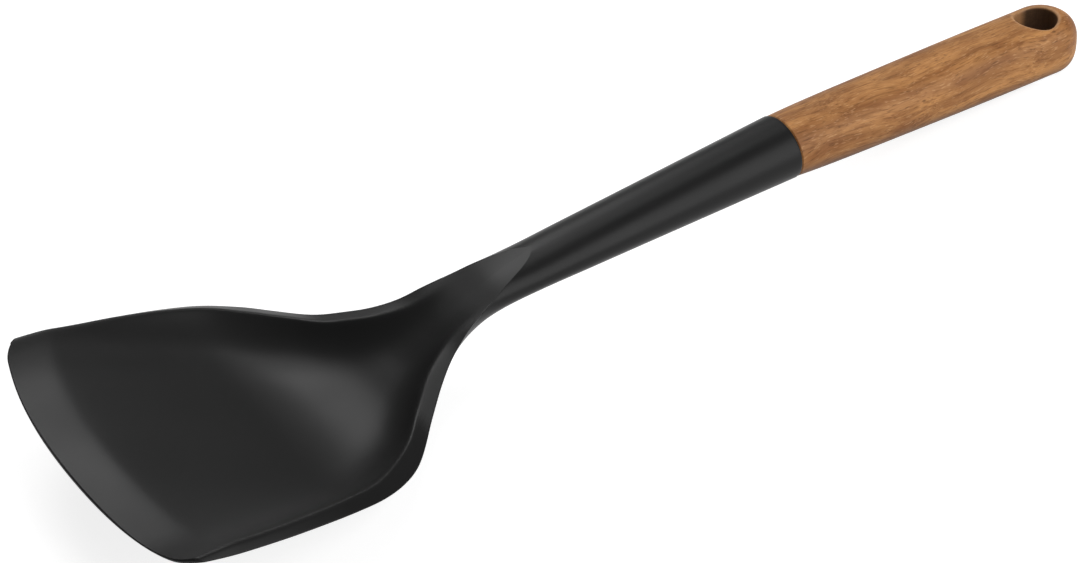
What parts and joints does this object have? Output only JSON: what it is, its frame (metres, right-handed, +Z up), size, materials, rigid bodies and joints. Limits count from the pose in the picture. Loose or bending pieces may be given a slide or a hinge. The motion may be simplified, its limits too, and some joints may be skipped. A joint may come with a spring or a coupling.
{
  "type": "wok spatula",
  "caption": "Wok spatula: a wide dished silicone blade with a thin bowed front lip, a slim neck moulded over a nylon core, and a rounded wood handle with a hanging hole",
  "frame": {"origin": "centre of the bounding box at its base, on the table that the spatula rests on, dish side up", "axes": "+X runs from the blade's front edge to the handle's end, +Y across the blade, +Z up from the table"},
  "size_m": [0.3006, 0.101, 0.0269],
  "materials": {
    "silicone": "matte black moulded silicone",
    "nylon": "glass-filled nylon, as moulded",
    "adhesive": "cured epoxy",
    "wood": "oiled acacia, grain along the handle"
  },
  "bodies": {
    "root": {"silicone_skin": "silicone", "nylon_core": "nylon", "tang_adhesive": "adhesive", "wood_handle": "wood"}
  },
  "joints": []
}
